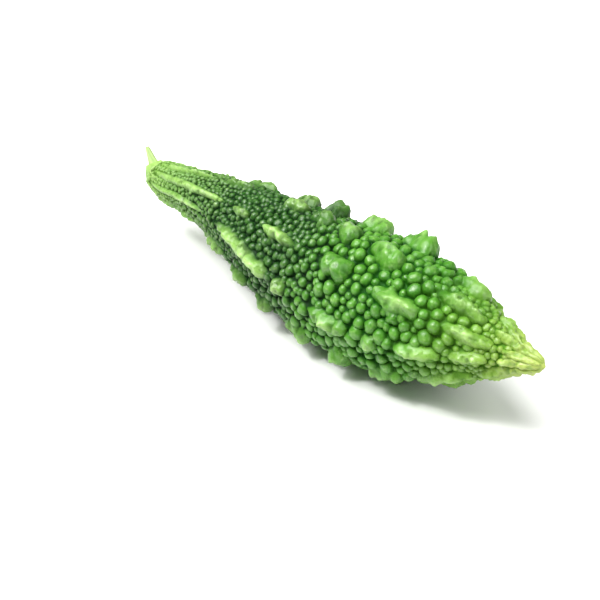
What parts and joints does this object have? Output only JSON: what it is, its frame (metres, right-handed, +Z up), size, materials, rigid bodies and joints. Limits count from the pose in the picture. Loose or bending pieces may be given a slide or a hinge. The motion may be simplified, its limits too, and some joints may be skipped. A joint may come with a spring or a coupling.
{
  "type": "bitter gourd",
  "caption": "Spindle-shaped warty fruit lying on its belly, with lengthwise ridges broken into blocks, round warts between them and a short stub of stem.",
  "frame": {"origin": "on the surface that the gourd lies on, under the middle of its box", "axes": "+X runs along the fruit from the stem end to the blossom tip, +Z is up, and -Y is the side that the picture shows"},
  "size_m": [0.233, 0.0584, 0.0574],
  "materials": {
    "gourd_skin": "waxy, softly shiny green skin",
    "stem_skin": "dry, pale green stalk"
  },
  "bodies": {
    "root": {"fruit": "gourd_skin", "stem": "stem_skin"}
  },
  "joints": []
}
